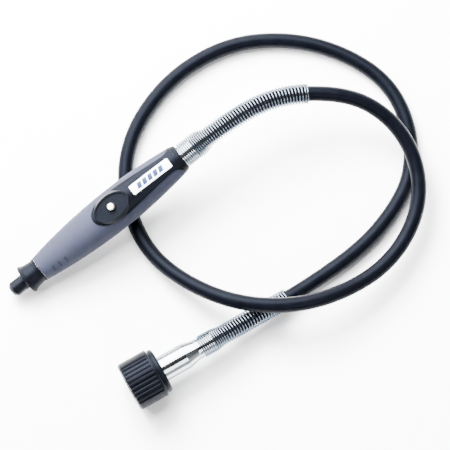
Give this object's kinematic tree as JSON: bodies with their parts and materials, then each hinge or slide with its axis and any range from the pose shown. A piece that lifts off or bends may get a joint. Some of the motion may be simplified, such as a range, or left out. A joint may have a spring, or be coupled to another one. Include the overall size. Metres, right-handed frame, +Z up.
{
  "type": "flexible shaft handpiece",
  "caption": "Slim rotary-tool handpiece with a collet nose, joined by a spring-relieved flexible drive shaft to a ribbed screw-on coupling nut, lying in one loose loop.",
  "frame": {"origin": "on the surface it lies on, under the middle of the handpiece's box", "axes": "+X along the handpiece in plan, from its collet to its shaft; +Z up"},
  "size_m": [0.2637, 0.181, 0.0404],
  "materials": {
    "black_plastic": "fine satin moulded",
    "grey_grip": "soft-touch overmould",
    "label_white": "smooth label",
    "hose_rubber": "satin extruded",
    "spring_steel": "bright plated wire",
    "plated_steel": "bright zinc plate",
    "black_oxide": "black oxide steel",
    "steel": "ground steel",
    "bronze": "sintered bronze",
    "nylon": "natural nylon"
  },
  "bodies": {
    "handpiece": {"nose_cap": "black_plastic", "body_shell": "black_plastic", "soft_grip": "grey_grip", "top_insert": "black_plastic", "label_plate": "label_white", "rear_collar": "black_plastic", "lock_bushing": "black_oxide", "lock_spring": "spring_steel", "front_outer_race": "steel", "rear_outer_race": "steel", "wave_washer": "spring_steel", "casing_ferrule": "plated_steel", "casing": "hose_rubber", "casing_liner": "steel", "flex_core": "steel", "upper_spring": "spring_steel", "lower_spring": "spring_steel", "drive_ferrule": "plated_steel", "drive_bushing": "bronze"},
    "spindle": {"spindle": "steel", "front_inner_race": "steel", "rear_inner_race": "steel", "bearing_circlip": "black_oxide", "core_tip": "steel"},
    "front_ball_set": {"front_balls": "steel", "front_cage": "bronze"},
    "rear_ball_set": {"rear_balls": "steel", "rear_cage": "bronze"},
    "collet": {"collet": "steel"},
    "collet_nut": {"collet_nut": "black_oxide"},
    "lock_pin": {"lock_pin": "plated_steel", "lock_clip": "steel"},
    "thrust_washer": {"thrust_washer": "nylon"},
    "coupling_nut": {"coupling_nut": "black_plastic"},
    "drive_tip": {"drive_tip": "steel", "drive_circlip": "black_oxide"}
  },
  "joints": [
    {"name": "spindle_spin", "type": "hinge", "parent": "handpiece", "child": "spindle", "pos_m": [-0.02938, 0, 0.01324], "axis": [0.9848, 0, 0.1736], "continuous": true},
    {"name": "front_balls_roll", "type": "hinge", "parent": "handpiece", "child": "front_ball_set", "pos_m": [-0.02938, 0, 0.01324], "axis": [0.9848, 0, 0.1736], "continuous": true},
    {"name": "rear_balls_roll", "type": "hinge", "parent": "handpiece", "child": "rear_ball_set", "pos_m": [0.02872, 0, 0.02348], "axis": [0.9848, 0, 0.1736], "continuous": true},
    {"name": "drive_spin", "type": "hinge", "parent": "handpiece", "child": "drive_tip", "pos_m": [-0.02403, -0.09291, 0.0151], "axis": [-0.9915, 0.13, 0], "continuous": true},
    {"name": "collet_travel", "type": "slide", "parent": "spindle", "child": "collet", "axis": [-0.9848, 0, -0.1736], "range_m": [0, 0.0014]},
    {"name": "nut_turn", "type": "hinge", "parent": "collet", "child": "collet_nut", "pos_m": [-0.05942, 0, 0.00794], "axis": [-0.9848, 0, -0.1736], "range_deg": [0, 720]},
    {"name": "lock_press", "type": "slide", "parent": "handpiece", "child": "lock_pin", "axis": [0.1736, 0, -0.9848], "range_m": [0, 0.0026], "stiffness_N_per_m": 600, "springref_m": -0.0015, "deforming": ["lock_spring"]},
    {"name": "nut_slide", "type": "slide", "parent": "handpiece", "child": "thrust_washer", "axis": [0.9915, -0.13, 0], "range_m": [0, 0.012]},
    {"name": "nut_spin", "type": "hinge", "parent": "thrust_washer", "child": "coupling_nut", "pos_m": [-0.03197, -0.09187, 0.0151], "axis": [-0.9915, 0.13, 0], "continuous": true}
  ],
  "couplings": [
    {"joint": "front_balls_roll", "follows": "spindle_spin", "ratio": 0.417},
    {"joint": "rear_balls_roll", "follows": "spindle_spin", "ratio": 0.417},
    {"joint": "drive_spin", "follows": "spindle_spin", "ratio": 1},
    {"joint": "nut_turn", "follows": "collet_travel", "rad_per_m": 8975.9}
  ]
}
